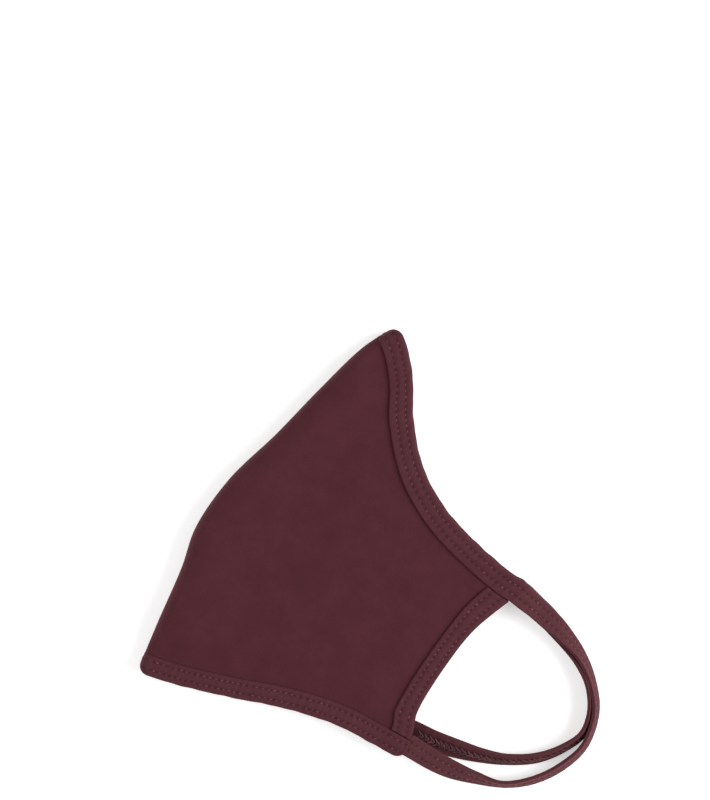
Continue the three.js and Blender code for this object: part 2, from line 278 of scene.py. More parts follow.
def clothPoint(run, v, half):
    # the middle of the cloth; half is 1 for the left half, on top, and -1 for the right one
    run, v = np.broadcast_arrays(np.asarray(run, float), np.asarray(v, float))
    u = runToU(run)
    turned = np.where(run < 1, np.sin(run * math.pi / 2), 1)
    spot = planPoint(u, v)
    lift = 1
    for distance, band in zip(insets(u, v), (noseBand, chinBand, sideBand)):
        past = distance - band["width"]
        lift = lift * smooth(past, cup["softStart"], cup["softRun"])
    dented = hollowShare(spot) * (1 if half > 0 else panelCloth["lowerHollows"])
    waved = looseWaves(spot[..., 0] + (0 if half > 0 else panelCloth["wavesApart"]), spot[..., 1])
    back = u * (noseLine["length"] + chinLine["length"]) / 2
    crest = np.exp(-(((back - panelCloth["swellBack"]) / panelCloth["swellWidth"]) ** 2))
    rise = panelRise * (1 - dented) + panelCloth["waveHeight"] * waved
    rise = lift * (rise + panelCloth["swell"] * crest * (half > 0))
    height = cup["seamGap"] / 2 + (clothAtBand - cup["seamGap"] / 2 + rise) * turned
    if half < 0:
        spot = spot + mix(np.zeros(2), np.array(cup["lowerShift"]), smooth(run, 0, cup["shiftRun"]))
    return np.concatenate([spot, (foldHeight + half * height)[..., None]], -1)


def clothNormal(run, v, half, step=1e-3):
    run, v = np.broadcast_arrays(np.asarray(run, float), np.asarray(v, float))
    along = clothPoint(np.minimum(run + step, 2), v, half) - clothPoint(run - step, v, half)
    upward = clothPoint(run, v + step, half) - clothPoint(run, v - step, half)
    return unit(np.cross(along, upward)) * half


def sidePlace(share, inward):
    # a place of the side band: share runs from the chin band to the nose band
    share, inward = np.broadcast_arrays(np.asarray(share, float), np.asarray(inward, float))
    low, high = sideBand["flare"]
    lowEnd, highStart = sideBand["flareReach"]
    wider = low * (1 - smooth(share, 0, lowEnd)) + high * smooth(share, highStart, 1)
    inward = inward * (1 + wider)
    u = sideU(share, inward)
    low = chinV(u, chinBand["width"] + cup["seamGap"])
    v = low + (noseV(u, noseBand["width"] + cup["seamGap"]) - low) * share
    return uToRun(sideU(v, inward)), v


# the drawing goes where the frame has the left side band
sideShare, sideInward = np.meshgrid(np.linspace(0, 1, 41), np.linspace(0, sideBand["width"], 21))
sideSpots = clothPoint(*sidePlace(sideShare, sideInward), 1).reshape(-1, 3)
sideBox = np.array(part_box("left_side_binding")) / mm
planShift = ((sideBox[0] + sideBox[1] - sideSpots.min(0) - sideSpots.max(0)) / 2)[:2]
print("plan drawn, shifted by", planShift.round(2))


def meshPiece(name, points, faces, uv, material, marks=None):
    # points and uv in millimetres, one uv pair a point; what would lie below the floor is flat
    place = np.array(points, float)
    place[:, :2] += planShift
    place[:, 2] = np.maximum(place[:, 2], 0)
    mesh = bpy.data.meshes.new(name)
    mesh.from_pydata((place * mm).tolist(), [], faces)
    solid = bmesh.new()
    solid.from_mesh(mesh)
    if solid.calc_volume(signed=True) < 0:  # its faces look inwards
        mesh.flip_normals()
    solid.free()
    mesh.polygons.foreach_set("use_smooth", np.ones(len(mesh.polygons), bool))
    corner = np.zeros(len(mesh.loops), np.int32)
    mesh.loops.foreach_get("vertex_index", corner)
    layer = mesh.uv_layers.new(name="clothMm")
    layer.uv.foreach_set("vector", np.asarray(uv, np.float32)[corner].ravel())
    for key, values in (marks or {}).items():
        data = mesh.attributes.new(key, "FLOAT", "POINT").data
        data.foreach_set("value", np.asarray(values, np.float32))
    mesh.materials.append(material)
    piece = bpy.data.objects.new(name, mesh)
    bpy.context.scene.collection.objects.link(piece)
    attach(piece, "root")
    return piece


def ringFaces(rings, count, first=0, capped=True):
    # faces between rings of count points each, with a face over each end
    i = first + np.arange(rings - 1)[:, None] * count
    j = np.arange(count)[None, :]
    k = (j + 1) % count
    faces = np.stack([i + j, i + k, i + k + count, i + j + count], -1).reshape(-1, 4).tolist()
    if capped:
        last = first + (rings - 1) * count
        faces += [list(range(first + count - 1, first - 1, -1)), list(range(last, last + count))]
    return faces


def linear(hexColour):
    # sRGB hex to linear
    values = [int(hexColour[k:k + 2], 16) / 255 for k in (1, 3, 5)]
    return [x / 12.92 if x <= 0.04045 else ((x + 0.055) / 1.055) ** 2.4 for x in values] + [1]


def addNode(tree, kind, settings=None, links=None):
    node = tree.nodes.new(kind)
    for key, value in (settings or {}).items():
        if isinstance(key, str) and key in node.bl_rna.properties:
            setattr(node, key, value)
        else:
            node.inputs[key].default_value = value
    for key, source in (links or {}).items():
        tree.links.new(source, node.inputs[key])
    return node


# the knit, in mm; the real one has 0.5 between its columns and 0.4 between its rows, which is too
# fine for the picture, and so it is drawn coarser, and so is its fuzz of loose fibre ends
jerseyKnit = {
    "wale": 0.75,  # between the columns
    "course": 0.6,  # between the rows
    "relief": 0.05,
    "reliefOfLoops": 0.3,  # how much of it the loops have beside the fuzz
    "fibre": 0.5,  # size of the fuzz
    "mottle": 11.0,  # size of the patches where the dye or the pile lies a little unlike
    # the loops tell in the colour as painted shade where the knit lies low
    "knitShadeShows": 0.12,  # how much the loops, the fuzz and the patches tell in the colour
    "fibreShows": 1.0,
    "mottleShows": 0.95,
}


def jersey(name, dark, light, hole):
    # combed cotton single jersey, dyed in the piece: matt and soft, a little patchy, with a faint
    # bloom at its edges where the fibre ends catch the light, and its columns of loops seen close
    material = bpy.data.materials.new(name)
    material.use_nodes = True
    tree = material.node_tree
    tree.nodes.clear()
    uv = addNode(tree, "ShaderNodeUVMap", {"uv_map": "clothMm"}).outputs[0]
    split = addNode(tree, "ShaderNodeSeparateXYZ", None, {0: uv})
    wale = addNode(tree, "ShaderNodeMath",
                   {"operation": "DIVIDE", 1: jerseyKnit["wale"]}, {0: split.outputs[0]})
    leg = addNode(tree, "ShaderNodeMath", {"operation": "PINGPONG", 1: 0.5}, {0: wale.outputs[0]})
    course = addNode(tree, "ShaderNodeMath",
                     {"operation": "DIVIDE", 1: jerseyKnit["course"]}, {0: split.outputs[1]})
    slanted = addNode(tree, "ShaderNodeMath", {"operation": "ADD"},
                      {0: course.outputs[0], 1: leg.outputs[0]})
    row = addNode(tree, "ShaderNodeMath",
                  {"operation": "PINGPONG", 1: 0.5}, {0: slanted.outputs[0]})
    knit = addNode(tree, "ShaderNodeMath", {"operation": "ADD"},
                   {0: leg.outputs[0], 1: row.outputs[0]})
    fuzz = addNode(tree, "ShaderNodeTexNoise",
                   {"Scale": 1 / jerseyKnit["fibre"], "Detail": 4.0, "Roughness": 0.65},
                   {"Vector": uv})
    mottle = addNode(tree, "ShaderNodeTexNoise",
                     {"Scale": 1 / jerseyKnit["mottle"], "Detail": 5.0, "Roughness": 0.68},
                     {"Vector": uv})
    # painted shade: the knit's loops, which also give the bump its height, make the colour darker
    # where the knit lies low
    # half way between the two colours where every pattern is at its middle
    shows = [jerseyKnit[key] for key in ("knitShadeShows", "fibreShows", "mottleShows")]
    toned = addNode(tree, "ShaderNodeMath",
                    {"operation": "MULTIPLY_ADD", 1: shows[0], 2: 0.5 - sum(shows) / 2},
                    {0: knit.outputs[0]})
    for pattern, share in ((fuzz, shows[1]), (mottle, shows[2])):
        toned = addNode(tree, "ShaderNodeMath", {"operation": "MULTIPLY_ADD", 1: share},
                        {0: pattern.outputs[0], 2: toned.outputs[0]})
    colour = addNode(tree, "ShaderNodeMix",
                     {"data_type": "RGBA", "clamp_factor": True, 6: linear(dark), 7: linear(light)},
                     {0: toned.outputs[0]})
    # needle holes, and the grooves along the rows, are in shade
    mark = addNode(tree, "ShaderNodeAttribute", {"attribute_name": "needleShade"})
    shaded = addNode(tree, "ShaderNodeMix",
                     {"data_type": "RGBA", "clamp_factor": True, 7: linear(hole)},
                     {0: mark.outputs["Fac"], 6: colour.outputs[2]})
    height = addNode(tree, "ShaderNodeMath",
                     {"operation": "MULTIPLY_ADD", 1: jerseyKnit["reliefOfLoops"]},
                     {0: knit.outputs[0], 2: fuzz.outputs[0]})
    bump = addNode(tree, "ShaderNodeBump",
                   {"Strength": 0.8, "Distance": jerseyKnit["relief"] * mm},
                   {"Height": height.outputs[0]})
    shader = addNode(tree, "ShaderNodeBsdfPrincipled",
                     {"Roughness": 0.85, "IOR": 1.5, "Specular IOR Level": 0.15,
                      "Sheen Weight": 0.3, "Sheen Roughness": 0.45,
                      "Sheen Tint": linear("#b8666a")},
                     {"Base Color": shaded.outputs[2], "Normal": bump.outputs[0]})
    addNode(tree, "ShaderNodeOutputMaterial", None, {0: shader.outputs[0]})
    return material


sewingThread = {
    "twist": 2.2,  # turns of the plies for a millimetre along the thread
    "plyShadeShows": 1.4,
    # the stitches differ in painted light and shade
    "unlike": 3.4,  # how much the stitches differ from each other
    "uneven": 0.3,  # how quickly, for a millimetre of thread
    "relief": 0.05,  # mm
}


def spunThread(name, dark, light):
    # spun polyester sewing thread: two twisted plies, mostly a little paler than the cloth, with
    # painted shade between the plies and on some stitches, as if sunk, and painted highlight on
    # others
    material = bpy.data.materials.new(name)
    material.use_nodes = True
    tree = material.node_tree
    tree.nodes.clear()
    uv = addNode(tree, "ShaderNodeUVMap", {"uv_map": "clothMm"}).outputs[0]
    split = addNode(tree, "ShaderNodeSeparateXYZ", None, {0: uv})
    twist = addNode(tree, "ShaderNodeMath",
                    {"operation": "MULTIPLY_ADD", 1: sewingThread["twist"]},
                    {0: split.outputs[0], 2: split.outputs[1]})
    ply = addNode(tree, "ShaderNodeMath", {"operation": "PINGPONG", 1: 0.25},
                  {0: twist.outputs[0]})
    uneven = addNode(tree, "ShaderNodeTexNoise",
                     {"Scale": sewingThread["uneven"], "Detail": 1.0}, {"Vector": uv})
    middle = 0.15 - sewingThread["unlike"] / 2  # so that most stitches are nearer the light colour
    # painted highlight and painted shade: some stretches of thread are drawn lighter, others darker
    paintedStitchLight = addNode(tree, "ShaderNodeMath",
                  {"operation": "MULTIPLY_ADD", 1: sewingThread["unlike"], 2: middle},
                  {0: uneven.outputs[0]})
    # painted shade between the plies, where the twist that gives the bump is low
    tone = addNode(tree, "ShaderNodeMath",
                   {"operation": "MULTIPLY_ADD", 1: sewingThread["plyShadeShows"]},
                   {0: ply.outputs[0], 2: paintedStitchLight.outputs[0]})
    colour = addNode(tree, "ShaderNodeMix",
                     {"data_type": "RGBA", "clamp_factor": True, 6: linear(dark), 7: linear(light)},
                     {0: tone.outputs[0]})
    bump = addNode(tree, "ShaderNodeBump",
                   {"Strength": 0.5, "Distance": sewingThread["relief"] * mm},
                   {"Height": ply.outputs[0]})
    shader = addNode(tree, "ShaderNodeBsdfPrincipled",
                     {"Roughness": 0.6, "IOR": 1.5, "Specular IOR Level": 0.3, "Sheen Weight": 0.1},
                     {"Base Color": colour.outputs[2], "Normal": bump.outputs[0]})
    addNode(tree, "ShaderNodeOutputMaterial", None, {0: shader.outputs[0]})
    return material


panelJersey = jersey("panelJersey", "#421b23", "#562932", "#2a1016")
# the same cloth where it is cut as strips and stretched round an edge, and so a little paler
bandJersey = jersey("bandJersey", "#472129", "#5b3038", "#2a1016")
loopJersey = jersey("loopJersey", "#4a242a", "#5f353a", "#2a1016")
needleThread = spunThread("needleThread", "#4c252c", "#80494f")
print("materials made")


def makePanel(name, node, half):
    columns = round(cup["length"] / panelCloth["grain"])
    rows = round(0.85 * cup["height"] / panelCloth["grain"])  # most columns are shorter than it
    rolled = np.linspace(0, 1, rollRings - 1)[:-1]
    share = np.r_[rolled, 1 + np.linspace(0, 1, columns)][None, :]
    climb = np.linspace(0, 1, rows)[:, None]
    inset = noseBand["leaf"] + cup["seamGap"]
    level = 1 + (share - 1) * (uToRun(sideU(climb, inset)) - 1)
    run = np.where(share < 1, share + 0 * climb, level)
    u = runToU(run)
    back = inset + roundInset(u * noseLine["length"], cup["tipRadius"])
    low, high = chinV(u, back), noseV(u, back)
    v = low + climb * (high - low)
    middle, normal = clothPoint(run, v, half), clothNormal(run, v, half)
    wall = cup["wall"] / 2
    fromSeam = np.minimum(run, 1) * cup["frontRoll"]
    # the outer ply is turned in at the front seam
    outer = middle + normal * (wall - roundInset(fromSeam, wall))[..., None]
    inner = middle - normal * wall
    index = np.arange(run.size).reshape(run.shape)
    corners = [index[:-1, :-1], index[:-1, 1:], index[1:, 1:], index[1:, :-1]]
    top = np.stack(corners, -1).reshape(-1, 4)
    rim = np.r_[index[0], index[1:, -1], index[-1, -2::-1], index[-2:0:-1, 0]]
    edge = np.stack([rim, rim + run.size, np.roll(rim, -1) + run.size, np.roll(rim, -1)], -1)
    faces = np.vstack([top, top[:, ::-1] + run.size, edge])
    if half < 0:
        faces = faces[:, ::-1]
    flat = middle[..., :2].reshape(-1, 2)
    points = np.concatenate([outer.reshape(-1, 3), inner.reshape(-1, 3)])
    uv = np.concatenate([flat, flat])
    piece = meshPiece(name, points, faces.tolist(), uv, panelJersey)
    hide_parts(node)
    return piece


# the coverstitch: needle stitches on the outside and the looper's chain on the reverse
stitching = {
    "pitch": 2.4,  # stitch length
    "grooveDepth": 0.3,
    "grooveWidth": 0.62,
    "puff": 0.22,  # of the strip between the rows
    "puffWidth": 1.1,
    "pucker": 0.08,  # height of the creases that the stitches draw over the strip
    "puckers": [  # share of that height, length, bend, length of the bend, slant
        (1, 3.1, 0.9, 7.3, 0.35),
        (0.8, 4.7, 1.7, 11, -0.2),
    ],
    "drift": [(0.3, 3.1, 0), (0.22, 7.7, 2)],  # how the stitches stray: by, over, from
    "holesShow": 0.55,  # share of a groove that is there at its holes alone
    "shadeWidth": 0.45,  # of the shade along a row
    "shade": (0.1, 0.55),  # all along the row, and what its holes add
    "chainShade": 0.62,
    "threadRadius": 0.2,
    "threadTaper": 0.35,  # share by which it is thinner in its holes
    "shows": 0.5,  # share of a stitch that lies on top
    "showsVaries": (0.75, 1.15),  # times that share
    "proud": 0.03,
    "dive": 0.45,
    "sinks": (-0.12, 0.02),  # how much lower or higher a whole stitch may lie
    "strays": 0.07,  # to the side
    "leans": (0.03, 0.08),  # mean and spread
    "chainRadius": 0.26,
    "chainTaper": 0.3,
    "chain": [(0.62, 1.0, 0.16), (1.15, 0.62, 0.3)],  # its two threads: lead, width, lift
    "chainDive": 0.2,
    "wobble": 0.07,  # of the outer fold, in and out
    "wobbleLengths": (12, 7.1, 17),  # of its two waves, and of the first one's drift
    "wobbleFrom": (2, 12),  # distances from a strip's tip where it starts and is whole
    "seed": 11,
}


def drift(along):
    # the stitches aren't quite even
    return sum(by * np.sin(along / over + start) for by, over, start in stitching["drift"])


def quilting(inward, along, rows):
    # height of a stitched face: grooves at the needle rows, deepest at each hole, and puckers
    turn = 2 * math.pi * along
    groove = sum(np.exp(-(((inward - row) / stitching["grooveWidth"]) ** 2)) for row in rows)
    hole = 0.5 + 0.5 * np.cos((turn + 2 * math.pi * drift(along)) / stitching["pitch"])
    deep = 1 - stitching["holesShow"] + stitching["holesShow"] * hole
    pucker = 0
    for share, length, bend, bendLength, slant in stitching["puckers"]:
        bent = bend * np.sin(along / bendLength) + slant * inward
        pucker = pucker + share * np.sin(turn / length + bent)
    between = np.exp(-(((inward - sum(rows) / 2) / stitching["puffWidth"]) ** 2))
    raised = stitching["pucker"] * pucker + stitching["puff"] * between
    return raised - stitching["grooveDepth"] * groove * deep


def wobble(along):
    long, short, drifting = stitching["wobbleLengths"]
    slow = np.sin(2 * math.pi * along / long + 2 * np.sin(along / drifting))
    quick = 0.7 * np.sin(2 * math.pi * along / short + 1)
    return stitching["wobble"] * (slow + quick)


def needleShade(inward, along, rows):
    across = sum(np.exp(-(((inward - row) / stitching["shadeWidth"]) ** 2)) for row in rows)
    turn = 2 * math.pi * (along + drift(along)) / stitching["pitch"]
    hole = (0.5 + 0.5 * np.cos(turn)) ** 2
    rowShade, holeShade = stitching["shade"]
    return across * (rowShade + holeShade * hole)


def bandProfile(band):
    # the outline of a strip that clasps an edge: inward from the fold, off the middle of the
    # cloth, and how far it is a face that shows
    width, face, slot = band["width"], cup["bandThickness"] / 2, band["slot"]
    lip = (face - slot) / 2
    turnIn = np.linspace(-1.2, math.pi / 2, 6)  # round the lip of the cut edge
    turnOver = np.linspace(0, math.pi / 2 - 0.08, 9)  # round the outer fold, to short of its middle
    level = np.linspace(width - lip, face, 24)[1:-1]  # over the face between them
    inward = np.r_[width - lip * (1 - np.cos(turnIn)), level, face * (1 - np.sin(turnOver))]
    fold = face * np.cos(turnOver) ** 0.8  # a little fuller than round
    off = np.r_[slot + lip * (1 + np.sin(turnIn)), np.full(len(level), face), fold]
    upper = np.stack([inward, off, np.ones(len(off))], 1)
    lower = upper[::-1] * (1, -1, 1)
    slotEnd = [(band["leaf"], -slot, 0), (band["leaf"], slot, 0)]
    return np.vstack([upper, lower, slotEnd])


def facing(inward, width):
    # the quilting fades out over the outer fold and at the cut edge
    return smooth(inward, 0.2, 1.5) * smooth(width - inward, 0, 0.9)


def bandRings(band, run, v, inward, off, shown, along, half, thin=1):
    # the rings of a strip on the cloth, quilted, and raised where it laps the side band's end
    u = runToU(run)
    lap = 1 - smooth(insets(u, v)[2], sideBand["width"] - 0.3, sideBand["width"] + 1.6)
    face = facing(inward, band["width"]) * shown
    plies, slot, quilt = (turnedStrip[key] for key in ("plies", "slot", "quilting"))
    flat = plies + (1 - plies) * smooth(run, 0, turnedStrip["pliesRun"])
    core = band["slot"] * (slot + (1 - slot) * smooth(run, 0, turnedStrip["slotRun"]))
    off = np.sign(off) * (core + np.maximum(np.abs(off) - band["slot"], 0) * flat)
    relief = quilting(inward, along, band["rows"]) * face * (quilt + (1 - quilt) * flat)
    relief = relief + band["lapRise"] * lap * shown
    off = (off + np.sign(off) * relief) * thin
    return clothPoint(run, v, half) + clothNormal(run, v, half) * off[..., None]


def joinRings(name, node, rings, profile, along, band, material, chained=False):
    count = rings.shape[1]
    shade = needleShade(profile[None, :, 0], along[:, None], band["rows"]) * profile[None, :, 2]
    if chained:  # the reverse is in shade under the looper's chain
        under = smooth(profile[:, 0], band["rows"][0] - 0.7, band["rows"][0] + 0.1)
        under = under * smooth(band["rows"][1] + 0.7 - profile[:, 0], 0, 0.8) * (profile[:, 1] < 0)
        shade = np.maximum(shade, stitching["chainShade"] * under[None, :])
    across = profile[:, 0] * np.sign(profile[:, 1])
    uv = np.stack(np.broadcast_arrays(along[:, None], across[None, :]), -1)
    faces = ringFaces(len(rings), count)
    piece = meshPiece(name, rings.reshape(-1, 3), faces, uv.reshape(-1, 2), material,
                      {"needleShade": shade.ravel()})
    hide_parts(node)
    return piece


def frontPlaces(band, edge, toV, run, inward):
    # where the points of a band lie on the cloth, round its tip and its far corner
    u = runToU(run)
    fromFold, fromEnd = u * edge["length"], (1 - u) * edge["length"]
    rounded = roundInset(fromFold, cup["tipRadius"]) + roundInset(fromEnd, band["endRadius"])
    if "bump" in band:  # the side band's end, folded in under this one, pushes its edge out
        height, away, spread = band["bump"]
        rounded = rounded - height * np.exp(-(((fromEnd - away) / spread) ** 2))
    start, whole = stitching["wobbleFrom"]
    faded = smooth(fromFold, start, whole) * smooth(fromEnd, 0, whole)
    rounded = rounded + wobble(fromFold) * faded
    return toV(u, rounded + (band["width"] - rounded) * inward / band["width"])


def makeFrontBand(name, node, band, edge, toV):
    # one strip over both halves, from the left half's end round the front fold to the right's
    profile = bandProfile(band)
    rolled = np.linspace(0, 1, rollRings)[:-1]
    runs = np.r_[rolled, 1 + np.linspace(0, 1, round(edge["length"] / spacing))]
    mid = clothPoint(runs, frontPlaces(band, edge, toV, runs, band["width"] / 2), 1)
    along = lengthAlong(mid)
    thin = np.ones(len(along))
    if band["endRadius"]:
        left = np.clip((along[-1] - along) / band["endRun"], 0, 1)
        thin = np.sqrt(np.clip(1 - (1 - left) ** 2, band["endThin"], 1))
    rings = []
    for half in (1, -1):
        run = runs[:, None] + 0 * profile[None, :, 0]
        inward, off, shown = (profile[None, :, k] + 0 * run for k in range(3))
        v = frontPlaces(band, edge, toV, run, inward)
        rings.append(bandRings(band, run, v, inward, off, shown, half * along[:, None], half,
                               thin[:, None]))
    both = np.concatenate([rings[0][::-1], rings[1]])
    length = np.r_[along[::-1], -along]
    piece = joinRings(name, node, both, profile, length, band, bandJersey)
    lines = []
    for half in (1, -1):
        for row in band["rows"]:
            v = frontPlaces(band, edge, toV, runs, row)
            face = np.full(len(runs), cup["bandThickness"] / 2)
            tops = bandRings(band, runs, v, np.full(len(runs), row), face, 1, half * along, half)
            lines.append((tops, clothNormal(runs, v, half), half * along))
    return piece, lines


def makeSideBand(name, node, half):
    band = sideBand
    profile = bandProfile(band)
    share = np.linspace(0, 1, round(sideLine["length"] / spacing))
    mid = clothPoint(*sidePlace(share, band["width"] / 2), 1)
    along = lengthAlong(mid)
    inward, off, shown = (profile[None, :, k] + 0 * share[:, None] for k in range(3))
    run, v = sidePlace(share[:, None], inward)
    rings = bandRings(band, run, v, inward, off, shown, along[:, None], half)
    if half < 0:
        rings, profile = rings[:, ::-1], profile[::-1]
    piece = joinRings(name, node, rings, profile, along, band, bandJersey)
    lines = []
    for row in band["rows"]:
        run, v = sidePlace(share, row)
        face = np.full(len(share), cup["bandThickness"] / 2)
        tops = bandRings(band, run, v, np.full(len(share), row), face, 1, along, half)
        lines.append((tops, clothNormal(run, v, half), along))
    return piece, lines


# the ear loops; in a route out is a share of the reach beyond the line between the roots, up a
# share of that line from the chin, and rest how far the strip has come down to the floor
loops = {
    "width": 8.8,
    "thickness": 1.5,
    "reach": 60,
    "floorClearance": 0.2,
    "easing": 10.0,  # run over which the band's full thickness settles to the strip's
    "tuck": 1.2,  # of the lower end, under the side edge
    "quilting": 0.6,  # share of the band's that is left where the strip is free
}
leftWay = {
    "roots": (0.026, 0.13),  # of its lower end, shares of the side edge
    "route": [  # out, up, rest, tilt in degrees
        (0.25, 1.004, 0.16, 14), (0.43, 0.996, 0.42, 44), (0.593, 0.971, 0.8, 64),
        (0.75, 0.907, 1, 72), (0.886, 0.8, 1, 74), (0.954, 0.625, 1, 72),
        (0.911, 0.458, 1, 68), (0.809, 0.302, 1, 69), (0.66, 0.177, 1, 74),
        (0.47, 0.1, 0.8, 54), (0.311, 0.052, 0.4, 30), (0.17, 0.024, 0.12, 14),
    ],
}
rightWay = {
    "roots": (0.085, 0.185),  # of its lower end, shares of the side edge
    "route": [  # out, up, rest, tilt in degrees
        (0.25, 1, 0.9, 14), (0.424, 0.973, 1, 48), (0.587, 0.937, 1, 65),
        (0.738, 0.8745, 1, 73), (0.855, 0.77, 1, 74), (0.907, 0.64, 1, 71),
        (0.863, 0.508, 1, 68), (0.761, 0.3625, 1, 62.5), (0.6, 0.235, 1, 60),
        (0.446, 0.154, 1, 48), (0.28, 0.085, 1, 28), (0.13, 0.032, 1, 12),
    ],
}
straightUp = np.array([0.0, 0.0, 1.0])


def loopFrame(half, way):
    # the strip's centre, and its directions across and through, every half millimetre or so
    sideEnd = np.full(2, 2.0)
    noseEnds = np.array([1, noseV(np.array(1.0), noseBand["width"])])
    noseOuter, noseInner = clothPoint(sideEnd, noseEnds, half)
    chinOuter, chinInner = clothPoint(sideEnd, np.array(way["roots"]), half)
    square = unit(np.cross(straightUp, chinOuter - chinInner))
    edge = clothPoint(np.full(9, 2.0), np.linspace(*way["roots"], 9), half)
    standOff = max(((edge - chinInner) @ square).max(), 0) + cup["seamGap"]
    noseRoot = (noseInner + noseOuter) / 2
    chinRoot = (chinInner + chinOuter) / 2 + square * standOff
    points, tilts = [noseRoot], [0]
    for out, up, rest, tilt in way["route"]:
        lean = math.radians(tilt)
        lying = (loops["width"] * math.sin(lean) + loops["thickness"] * math.cos(lean)) / 2
        spot = chinRoot + (noseRoot - chinRoot) * up
        spot[0] += out * loops["reach"]
        spot[2] = noseRoot[2] + (lying + loops["floorClearance"] - noseRoot[2]) * rest
        points.append(spot)
        tilts.append(tilt)
    points.append(chinRoot)
    tilts.append(0)
    place = np.linspace(0, 1, 2401)
    centre = throughPoints(points, place)
    lean = np.radians(throughPoints(np.array(tilts, float)[:, None], place)[:, 0])
    centre = np.vstack([centre, chinRoot - square * loops["tuck"]])
    lean = np.r_[lean, 0]
    along = lengthAlong(centre)
    even = np.linspace(0, along[-1], round(along[-1] / spacing))
    centre = np.stack([np.interp(even, along, centre[:, k]) for k in range(3)], 1)
    lean = np.interp(even, along, lean)
    ahead = np.gradient(centre, axis=0) * (1, 1, 0)
    outward = unit(np.cross(straightUp, unit(ahead)))
    across = outward * np.cos(lean)[:, None] - straightUp * np.sin(lean)[:, None]
    through = outward * np.sin(lean)[:, None] + straightUp * np.cos(lean)[:, None]
    fromNose = 1 - smooth(even, 0, loops["easing"])
    fromChin = 1 - smooth(even[-1] - even, loops["tuck"], loops["easing"] / 2)
    across = mix(across * loops["width"], noseOuter - noseInner, fromNose)
    across = mix(across, chinOuter - chinInner, fromChin)
    return centre, across, through * half, even, fromNose


def makeLoop(name, node, half, way, startAlong):
    centre, across, through, even, fromNose = loopFrame(half, way)
    band = {"width": noseBand["width"], "rows": noseBand["rows"]}
    profile = bandProfile(noseBand)[:-2]
    inward, off = profile[None, :, 0], profile[None, :, 1]
    face, slot = cup["bandThickness"] / 2, noseBand["slot"]
    # away from the cup the strip is thinner, and its slot is closed
    filled = np.clip((np.abs(off) - slot) / (face - slot), 0.02, 1)
    closed = np.sign(off) * filled * loops["thickness"] / 2
    pressed = off * loops["thickness"] / cup["bandThickness"]
    thinned = np.where(inward > band["width"] / 2, closed, pressed)
    ease = fromNose[:, None]
    along = half * (startAlong + even)
    level = off * ease + thinned * (1 - ease) + np.sign(off) * noseBand["lapRise"] * ease
    quilt = quilting(inward, along[:, None], band["rows"]) * facing(inward, band["width"])
    kept = loops["quilting"] + (1 - loops["quilting"]) * fromNose
    level = level + np.sign(off) * quilt * kept[:, None]
    wide = 0.5 - inward / band["width"]
    rings = centre[:, None] + across[:, None] * wide[..., None]
    rings = rings + through[:, None] * level[..., None]
    if half < 0:
        rings, profile = rings[:, ::-1], profile[::-1]
    piece = joinRings(name, node, rings, profile, along, band, loopJersey,
                      chained=True)
    faceLevel = (face + noseBand["lapRise"]) * fromNose + loops["thickness"] / 2 * (1 - fromNose)
    lines, backs = [], []
    for row in band["rows"]:
        sunk = faceLevel + quilting(row, along, band["rows"]) * kept
        spot = centre + across * (0.5 - row / band["width"])
        lines.append((spot + through * sunk[:, None], through, along))
        backs.append(spot - through * faceLevel[:, None])
    return piece, lines, (backs, -through, along)


threadChance = np.random.default_rng(stitching["seed"])
mapStep = 13.7  # mm of map from one stitch to the next
pressedThread = (1.15, 0.85)  # its width and height, as shares of a round one's


def tubesAlong(paths, normals, radius, sides=8):
    # a closed tube for each path of points, a little flat; radius is one number for each point
    # of a path, and each tube has its own piece of the map
    ahead = unit(np.gradient(paths, axis=1))
    aside = unit(np.cross(ahead, normals))
    up = np.cross(aside, ahead)
    turn = np.linspace(0, 2 * math.pi, sides, endpoint=False)
    wide, high = pressedThread
    ring = (aside[:, :, None] * np.cos(turn)[None, None, :, None] * wide
            + up[:, :, None] * np.sin(turn)[None, None, :, None] * high)
    points = paths[:, :, None] + ring * radius[None, :, None, None]
    count, rings = paths.shape[:2]
    faces = []
    for k in range(count):
        faces += ringFaces(rings, sides, k * rings * sides)
    run = lengthAlong(paths[0])[None, :] + mapStep * np.arange(count)[:, None]
    around = turn / (2 * math.pi)
    uv = np.stack(np.broadcast_arrays(run[..., None] + 0 * points[..., 0], around), -1)
    return points.reshape(-1, 3), faces, uv.reshape(-1, 2)


def sampled(line, along, normals, spots):
    order = np.argsort(along)
    pick = [np.stack([np.interp(spots, along[order], values[order][:, k]) for k in range(3)], -1)
            for values in (line, normals)]
    return pick[0], unit(pick[1])


def needleRow(line, normals, along):
    # the dashes of a needle row, each dipping into its holes
    pitch = stitching["pitch"]
    first, last = math.ceil(along.min() / pitch + 0.3), math.floor(along.max() / pitch - 1.3)
    middles = (np.arange(first, last + 1) + 0.5) * pitch
    middles = middles - drift(middles)
    each = (len(middles), 1)
    t = np.linspace(-1, 1, 7)
    reach = stitching["shows"] * pitch / 2
    varied = threadChance.uniform(*stitching["showsVaries"], each)
    spots = middles[:, None] + t[None, :] * reach * varied
    points, up = sampled(line, along, normals, spots)
    lift = stitching["proud"] - (stitching["proud"] + stitching["dive"]) * np.abs(t) ** 4
    aside = unit(np.cross(np.gradient(points, axis=1), up))
    slant = threadChance.normal(0, stitching["strays"], each)
    slant = slant + t * threadChance.normal(*stitching["leans"], each)
    sunk = threadChance.uniform(*stitching["sinks"], each)
    points = points + up * (lift + sunk)[..., None] + aside * slant[..., None]
    thinned = 1 - stitching["threadTaper"] * t**6
    return tubesAlong(points, up, stitching["threadRadius"] * thinned)


def needleRows(lines):
    return [needleRow(*line) for line in lines]


